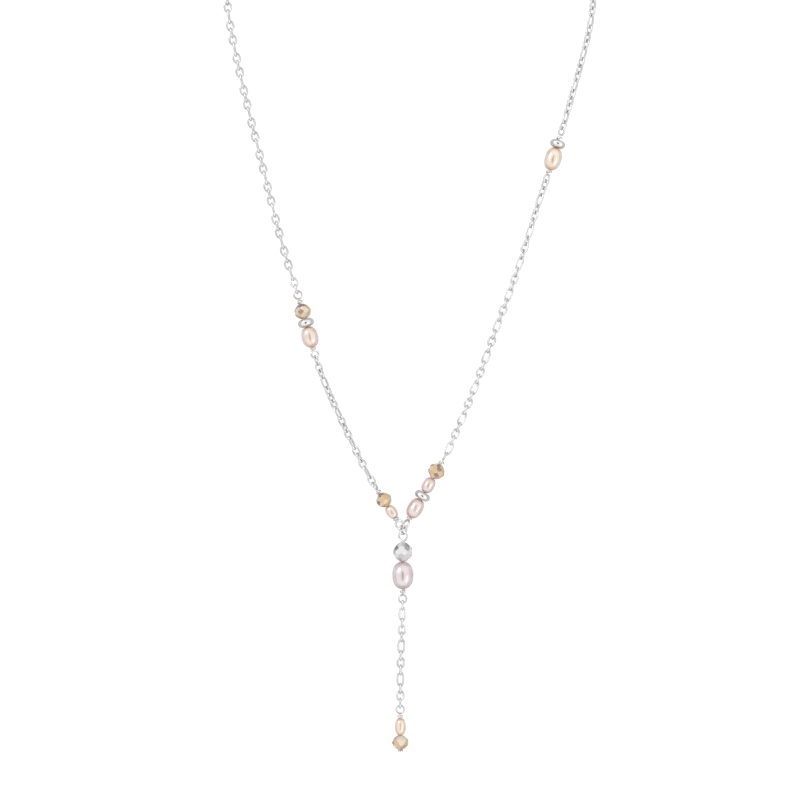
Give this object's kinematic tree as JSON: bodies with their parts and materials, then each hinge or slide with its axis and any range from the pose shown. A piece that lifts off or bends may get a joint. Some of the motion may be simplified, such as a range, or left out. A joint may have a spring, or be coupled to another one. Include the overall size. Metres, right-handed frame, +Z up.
{
  "type": "pearl necklace",
  "caption": "Long-and-short link chain necklace in a Y shape, with wire-wrapped stations of pearls, faceted beads and silver rondelles, a beaded drop and a lobster clasp.",
  "frame": {"origin": "middle of the bounding box, on the table that the necklace lies on", "axes": "+Z up from the table; +Y from the beaded drop towards the clasp; +X to the right of someone who looks down with the drop towards them"},
  "size_m": [0.0994, 0.2404, 0.0058],
  "materials": {
    "silver_wire": "polished silver plate",
    "silver_rondelle": "mirror-polished silver plate",
    "silver_findings": "polished silver plate",
    "spring_steel": "drawn spring wire",
    "peach_pearl": "pearl lustre",
    "lavender_pearl": "pearl lustre",
    "champagne_crystal": "polished facets",
    "clear_crystal": "polished facets"
  },
  "bodies": {
    "centre_ring": {"centre_ring": "silver_wire"},
    "left_lower_pin": {"left_lower_pin": "silver_wire"},
    "left_lower_pearl": {"left_lower_pearl": "peach_pearl"},
    "left_lower_crystal": {"left_lower_crystal": "champagne_crystal"},
    "left_lower_chain_1": {"left_lower_chain_1": "silver_wire"},
    "left_lower_chain_2": {"left_lower_chain_2": "silver_wire"},
    "left_lower_chain_3": {"left_lower_chain_3": "silver_wire"},
    "left_upper_pin": {"left_upper_pin": "silver_wire"},
    "left_upper_pearl": {"left_upper_pearl": "peach_pearl"},
    "left_upper_rondelle": {"left_upper_rondelle": "silver_rondelle"},
    "left_upper_crystal": {"left_upper_crystal": "champagne_crystal"},
    "left_upper_chain_1": {"left_upper_chain_1": "silver_wire"},
    "left_upper_chain_2": {"left_upper_chain_2": "silver_wire"},
    "left_upper_chain_3": {"left_upper_chain_3": "silver_wire"},
    "left_upper_chain_4": {"left_upper_chain_4": "silver_wire"},
    "left_upper_chain_5": {"left_upper_chain_5": "silver_wire"},
    "left_upper_chain_6": {"left_upper_chain_6": "silver_wire"},
    "left_upper_chain_7": {"left_upper_chain_7": "silver_wire"},
    "left_upper_chain_8": {"left_upper_chain_8": "silver_wire"},
    "left_upper_chain_9": {"left_upper_chain_9": "silver_wire"},
    "left_upper_chain_10": {"left_upper_chain_10": "silver_wire"},
    "left_upper_chain_11": {"left_upper_chain_11": "silver_wire"},
    "clasp_jump_ring": {"clasp_jump_ring": "silver_findings"},
    "right_lower_pin": {"right_lower_pin": "silver_wire"},
    "right_lower_pearl": {"right_lower_pearl": "peach_pearl"},
    "right_lower_rondelle": {"right_lower_rondelle": "silver_rondelle"},
    "right_lower_small_pearl": {"right_lower_small_pearl": "peach_pearl"},
    "right_lower_crystal": {"right_lower_crystal": "champagne_crystal"},
    "right_lower_chain_1": {"right_lower_chain_1": "silver_wire"},
    "right_lower_chain_2": {"right_lower_chain_2": "silver_wire"},
    "right_lower_chain_3": {"right_lower_chain_3": "silver_wire"},
    "right_lower_chain_4": {"right_lower_chain_4": "silver_wire"},
    "right_lower_chain_5": {"right_lower_chain_5": "silver_wire"},
    "right_lower_chain_6": {"right_lower_chain_6": "silver_wire"},
    "right_upper_pin": {"right_upper_pin": "silver_wire"},
    "right_upper_pearl": {"right_upper_pearl": "peach_pearl"},
    "right_upper_rondelle": {"right_upper_rondelle": "silver_rondelle"},
    "right_upper_chain_1": {"right_upper_chain_1": "silver_wire"},
    "right_upper_chain_2": {"right_upper_chain_2": "silver_wire"},
    "right_upper_chain_3": {"right_upper_chain_3": "silver_wire"},
    "right_upper_chain_4": {"right_upper_chain_4": "silver_wire"},
    "right_upper_chain_5": {"right_upper_chain_5": "silver_wire"},
    "right_upper_chain_6": {"right_upper_chain_6": "silver_wire"},
    "right_upper_chain_7": {"right_upper_chain_7": "silver_wire"},
    "right_upper_chain_8": {"right_upper_chain_8": "silver_wire"},
    "end_ring": {"end_ring": "silver_findings"},
    "drop_upper_pin": {"drop_upper_pin": "silver_wire"},
    "drop_clear_ball": {"drop_clear_ball": "clear_crystal"},
    "drop_large_pearl": {"drop_large_pearl": "lavender_pearl"},
    "drop_chain_1": {"drop_chain_1": "silver_wire"},
    "drop_chain_2": {"drop_chain_2": "silver_wire"},
    "drop_chain_3": {"drop_chain_3": "silver_wire"},
    "drop_tip_pin": {"drop_tip_pin": "silver_wire"},
    "drop_tip_pearl": {"drop_tip_pearl": "peach_pearl"},
    "drop_tip_crystal": {"drop_tip_crystal": "champagne_crystal"},
    "clasp": {"clasp_body": "silver_findings", "clasp_rivet": "silver_findings", "clasp_spring": "spring_steel"},
    "clasp_lever": {"clasp_lever": "silver_findings"}
  },
  "joints": [
    {"name": "left_lower_pin_swing", "type": "hinge", "parent": "centre_ring", "child": "left_lower_pin", "pos_m": [-0.00201, -0.061, 0.00278], "axis": [0.6536, 0.4791, 0.5859], "range_deg": [-40, 75]},
    {"name": "left_lower_chain_1_swing", "type": "hinge", "parent": "left_lower_pin", "child": "left_lower_chain_1", "pos_m": [-0.00953, -0.0494, 0.0017], "axis": [-0.7843, -0.5227, -0.3342], "range_deg": [-75, 75]},
    {"name": "left_lower_chain_2_swing", "type": "hinge", "parent": "left_lower_chain_1", "child": "left_lower_chain_2", "pos_m": [-0.0161, -0.03671, 0.00123], "axis": [-0.3719, -0.1796, 0.9107], "range_deg": [-75, 75]},
    {"name": "left_lower_chain_3_swing", "type": "hinge", "parent": "left_lower_chain_2", "child": "left_lower_chain_3", "pos_m": [-0.02114, -0.0258, 0.00123], "axis": [-0.6459, -0.2782, -0.711], "range_deg": [-75, 75]},
    {"name": "left_upper_pin_swing", "type": "hinge", "parent": "left_lower_chain_3", "child": "left_upper_pin", "pos_m": [-0.02503, -0.01533, 0.00237], "axis": [0.4625, -0.0669, 0.8841], "range_deg": [-75, 75]},
    {"name": "left_upper_chain_1_swing", "type": "hinge", "parent": "left_upper_pin", "child": "left_upper_chain_1", "pos_m": [-0.02977, 0.00129, 0.00237], "axis": [0.0683, -0.2091, -0.9755], "range_deg": [-75, 75]},
    {"name": "left_upper_chain_2_swing", "type": "hinge", "parent": "left_upper_chain_1", "child": "left_upper_chain_2", "pos_m": [-0.0337, 0.01378, 0.00123], "axis": [0.9605, 0.2784, 0], "range_deg": [-75, 75]},
    {"name": "left_upper_chain_3_swing", "type": "hinge", "parent": "left_upper_chain_2", "child": "left_upper_chain_3", "pos_m": [-0.03712, 0.02711, 0.00123], "axis": [0.9708, 0.2398, 0], "range_deg": [-75, 75]},
    {"name": "left_upper_chain_4_swing", "type": "hinge", "parent": "left_upper_chain_3", "child": "left_upper_chain_4", "pos_m": [-0.03955, 0.03692, 0.00123], "axis": [-0.9696, -0.2445, 0], "range_deg": [-75, 75]},
    {"name": "left_upper_chain_5_swing", "type": "hinge", "parent": "left_upper_chain_4", "child": "left_upper_chain_5", "pos_m": [-0.04303, 0.05084, 0.00123], "axis": [0, 0, -1], "range_deg": [-75, 75]},
    {"name": "left_upper_chain_6_swing", "type": "hinge", "parent": "left_upper_chain_5", "child": "left_upper_chain_6", "pos_m": [-0.0457, 0.06256, 0.00123], "axis": [-0.9769, -0.2138, 0], "range_deg": [-75, 75]},
    {"name": "left_upper_chain_7_swing", "type": "hinge", "parent": "left_upper_chain_6", "child": "left_upper_chain_7", "pos_m": [-0.04781, 0.07305, 0.00123], "axis": [0, 0, -1], "range_deg": [-75, 75]},
    {"name": "left_upper_chain_8_swing", "type": "hinge", "parent": "left_upper_chain_7", "child": "left_upper_chain_8", "pos_m": [-0.04824, 0.08735, 0.00123], "axis": [0.9951, -0.0987, 0], "range_deg": [-75, 75]},
    {"name": "left_upper_chain_9_swing", "type": "hinge", "parent": "left_upper_chain_8", "child": "left_upper_chain_9", "pos_m": [-0.04454, 0.09872, 0.00123], "axis": [0, 0, -1], "range_deg": [-75, 75]},
    {"name": "left_upper_chain_10_swing", "type": "hinge", "parent": "left_upper_chain_9", "child": "left_upper_chain_10", "pos_m": [-0.03688, 0.10768, 0.00123], "axis": [-0.5983, 0.8013, 0], "range_deg": [-75, 75]},
    {"name": "left_upper_chain_11_swing", "type": "hinge", "parent": "left_upper_chain_10", "child": "left_upper_chain_11", "pos_m": [-0.02535, 0.11397, 0.00123], "axis": [0, 0, -1], "range_deg": [-75, 75]},
    {"name": "clasp_jump_ring_swing", "type": "hinge", "parent": "left_upper_chain_11", "child": "clasp_jump_ring", "pos_m": [-0.01559, 0.11638, 0.00153], "axis": [0, 0, 1], "range_deg": [-75, 75]},
    {"name": "clasp_swing", "type": "hinge", "parent": "clasp_jump_ring", "child": "clasp", "pos_m": [-0.01395, 0.11664, 0.00154], "axis": [-0.0556, 0.9985, 0], "range_deg": [-75, 75]},
    {"name": "right_lower_pin_swing", "type": "hinge", "parent": "centre_ring", "child": "right_lower_pin", "pos_m": [-0.0016, -0.06096, 0.00224], "axis": [0.4074, -0.2333, 0.8829], "range_deg": [-75, 25]},
    {"name": "right_lower_chain_1_swing", "type": "hinge", "parent": "right_lower_pin", "child": "right_lower_chain_1", "pos_m": [0.00962, -0.0415, 0.00228], "axis": [-0.9063, 0.4227, 0], "range_deg": [-75, 75]},
    {"name": "right_lower_chain_2_swing", "type": "hinge", "parent": "right_lower_chain_1", "child": "right_lower_chain_2", "pos_m": [0.01509, -0.02899, 0.00123], "axis": [0.9268, -0.3746, 0.0245], "range_deg": [-75, 75]},
    {"name": "right_lower_chain_3_swing", "type": "hinge", "parent": "right_lower_chain_2", "child": "right_lower_chain_3", "pos_m": [0.01986, -0.01669, 0.00123], "axis": [0.0771, -0.0284, -0.9966], "range_deg": [-75, 75]},
    {"name": "right_lower_chain_4_swing", "type": "hinge", "parent": "right_lower_chain_3", "child": "right_lower_chain_4", "pos_m": [0.02432, -0.00429, 0.00123], "axis": [0.9146, -0.3405, 0.2184], "range_deg": [-75, 75]},
    {"name": "right_lower_chain_5_swing", "type": "hinge", "parent": "right_lower_chain_4", "child": "right_lower_chain_5", "pos_m": [0.02878, 0.00813, 0.00123], "axis": [0.3332, -0.1127, -0.9361], "range_deg": [-75, 75]},
    {"name": "right_lower_chain_6_swing", "type": "hinge", "parent": "right_lower_chain_5", "child": "right_lower_chain_6", "pos_m": [0.03271, 0.0207, 0.00123], "axis": [0.7814, -0.2448, 0.5741], "range_deg": [-75, 75]},
    {"name": "right_upper_pin_swing", "type": "hinge", "parent": "right_lower_chain_6", "child": "right_upper_pin", "pos_m": [0.03602, 0.03076, 0.00233], "axis": [-0.6747, 0.2117, 0.7071], "range_deg": [-75, 75]},
    {"name": "right_upper_chain_1_swing", "type": "hinge", "parent": "right_upper_pin", "child": "right_upper_chain_1", "pos_m": [0.04041, 0.04471, 0.00239], "axis": [0.7223, -0.05, 0.6898], "range_deg": [-75, 75]},
    {"name": "right_upper_chain_2_swing", "type": "hinge", "parent": "right_upper_chain_1", "child": "right_upper_chain_2", "pos_m": [0.0442, 0.0578, 0.00123], "axis": [-0.6714, 0.1861, -0.7174], "range_deg": [-75, 75]},
    {"name": "right_upper_chain_3_swing", "type": "hinge", "parent": "right_upper_chain_2", "child": "right_upper_chain_3", "pos_m": [0.04748, 0.07058, 0.00123], "axis": [-0.7228, 0.1632, 0.6716], "range_deg": [-75, 75]},
    {"name": "right_upper_chain_4_swing", "type": "hinge", "parent": "right_upper_chain_3", "child": "right_upper_chain_4", "pos_m": [0.04882, 0.08118, 0.00123], "axis": [-0.6292, 0.0312, -0.7766], "range_deg": [-75, 75]},
    {"name": "right_upper_chain_5_swing", "type": "hinge", "parent": "right_upper_chain_4", "child": "right_upper_chain_5", "pos_m": [0.04694, 0.09416, 0.00123], "axis": [-0.7857, -0.3013, 0.5403], "range_deg": [-75, 75]},
    {"name": "right_upper_chain_6_swing", "type": "hinge", "parent": "right_upper_chain_5", "child": "right_upper_chain_6", "pos_m": [0.04023, 0.10541, 0.00123], "axis": [-0.3404, -0.2951, -0.8928], "range_deg": [-75, 75]},
    {"name": "right_upper_chain_7_swing", "type": "hinge", "parent": "right_upper_chain_6", "child": "right_upper_chain_7", "pos_m": [0.03077, 0.11247, 0.00123], "axis": [0.4711, 0.8152, -0.3369], "range_deg": [-75, 75]},
    {"name": "right_upper_chain_8_swing", "type": "hinge", "parent": "right_upper_chain_7", "child": "right_upper_chain_8", "pos_m": [0.01945, 0.11641, 0.00123], "axis": [-0.0261, -0.1334, -0.9907], "range_deg": [-75, 75]},
    {"name": "end_ring_swing", "type": "hinge", "parent": "right_upper_chain_8", "child": "end_ring", "pos_m": [0.00887, 0.11779, 0.0013], "axis": [0.0215, 0.9998, 0], "range_deg": [-75, 75]},
    {"name": "drop_upper_pin_swing", "type": "hinge", "parent": "centre_ring", "child": "drop_upper_pin", "pos_m": [-0.00178, -0.06185, 0.00246], "axis": [0.8573, 0.0158, 0.5146], "range_deg": [-75, 75]},
    {"name": "drop_chain_1_swing", "type": "hinge", "parent": "drop_upper_pin", "child": "drop_chain_1", "pos_m": [-0.00189, -0.08063, 0.00321], "axis": [-1, 0.0055, 0], "range_deg": [-75, 75]},
    {"name": "drop_chain_2_swing", "type": "hinge", "parent": "drop_chain_1", "child": "drop_chain_2", "pos_m": [-0.0022, -0.09111, 0.00122], "axis": [0.0009, 0.0223, -0.9998], "range_deg": [-75, 75]},
    {"name": "drop_chain_3_swing", "type": "hinge", "parent": "drop_chain_2", "child": "drop_chain_3", "pos_m": [-0.00245, -0.09931, 0.00123], "axis": [0.9999, -0.0149, 0], "range_deg": [-75, 75]},
    {"name": "drop_tip_pin_swing", "type": "hinge", "parent": "drop_chain_3", "child": "drop_tip_pin", "pos_m": [-0.00254, -0.10859, 0.00217], "axis": [-0.0008, -0.22, -0.9755], "range_deg": [-75, 75]},
    {"name": "left_lower_pearl_spin", "type": "hinge", "parent": "left_lower_pin", "child": "left_lower_pearl", "pos_m": [-0.00481, -0.05667, 0.00236], "axis": [-0.541, 0.8371, -0.081], "continuous": true},
    {"name": "left_lower_crystal_spin", "type": "hinge", "parent": "left_lower_pin", "child": "left_lower_crystal", "pos_m": [-0.00688, -0.05347, 0.00205], "axis": [-0.541, 0.8371, -0.081], "continuous": true},
    {"name": "left_upper_pearl_spin", "type": "hinge", "parent": "left_upper_pin", "child": "left_upper_pearl", "pos_m": [-0.02647, -0.01029, 0.0023], "axis": [-0.275, 0.9614, 0], "continuous": true},
    {"name": "left_upper_rondelle_spin", "type": "hinge", "parent": "left_upper_pin", "child": "left_upper_rondelle", "pos_m": [-0.02754, -0.00654, 0.0023], "axis": [-0.275, 0.9614, 0], "continuous": true},
    {"name": "left_upper_crystal_spin", "type": "hinge", "parent": "left_upper_pin", "child": "left_upper_crystal", "pos_m": [-0.0284, -0.00351, 0.0023], "axis": [-0.275, 0.9614, 0], "continuous": true},
    {"name": "right_lower_pearl_spin", "type": "hinge", "parent": "right_lower_pin", "child": "right_lower_pearl", "pos_m": [0.00144, -0.05568, 0.00223], "axis": [0.4983, 0.867, -0.0009], "continuous": true},
    {"name": "right_lower_rondelle_spin", "type": "hinge", "parent": "right_lower_pin", "child": "right_lower_rondelle", "pos_m": [0.00334, -0.05236, 0.00223], "axis": [0.4983, 0.867, -0.0009], "continuous": true},
    {"name": "right_lower_small_pearl_spin", "type": "hinge", "parent": "right_lower_pin", "child": "right_lower_small_pearl", "pos_m": [0.00494, -0.04959, 0.00222], "axis": [0.4983, 0.867, -0.0009], "continuous": true},
    {"name": "right_lower_crystal_spin", "type": "hinge", "parent": "right_lower_pin", "child": "right_lower_crystal", "pos_m": [0.00708, -0.04586, 0.00222], "axis": [0.4983, 0.867, -0.0009], "continuous": true},
    {"name": "right_upper_pearl_spin", "type": "hinge", "parent": "right_upper_pin", "child": "right_upper_pearl", "pos_m": [0.03796, 0.03694, 0.00233], "axis": [0.2994, 0.9541, 0], "continuous": true},
    {"name": "right_upper_rondelle_spin", "type": "hinge", "parent": "right_upper_pin", "child": "right_upper_rondelle", "pos_m": [0.03921, 0.0409, 0.00233], "axis": [0.2994, 0.9541, 0], "continuous": true},
    {"name": "drop_clear_ball_spin", "type": "hinge", "parent": "drop_upper_pin", "child": "drop_clear_ball", "pos_m": [-0.00181, -0.06719, 0.00268], "axis": [-0.0055, -0.9992, 0.0399], "continuous": true},
    {"name": "drop_large_pearl_spin", "type": "hinge", "parent": "drop_upper_pin", "child": "drop_large_pearl", "pos_m": [-0.00185, -0.07341, 0.00293], "axis": [-0.0055, -0.9992, 0.0399], "continuous": true},
    {"name": "drop_tip_pearl_spin", "type": "hinge", "parent": "drop_tip_pin", "child": "drop_tip_pearl", "pos_m": [-0.0025, -0.11358, 0.0021], "axis": [0.0066, -1, 0], "continuous": true},
    {"name": "drop_tip_crystal_spin", "type": "hinge", "parent": "drop_tip_pin", "child": "drop_tip_crystal", "pos_m": [-0.00247, -0.1178, 0.0021], "axis": [0.0066, -1, 0], "continuous": true},
    {"name": "clasp_lever_pivot", "type": "hinge", "parent": "clasp", "child": "clasp_lever", "pos_m": [-0.00915, 0.11752, 0.00137], "axis": [-0.0352, -0.002, -0.9994], "range_deg": [0, 32], "stiffness_Nm_per_rad": 0.002, "springref_deg": -17.19}
  ]
}
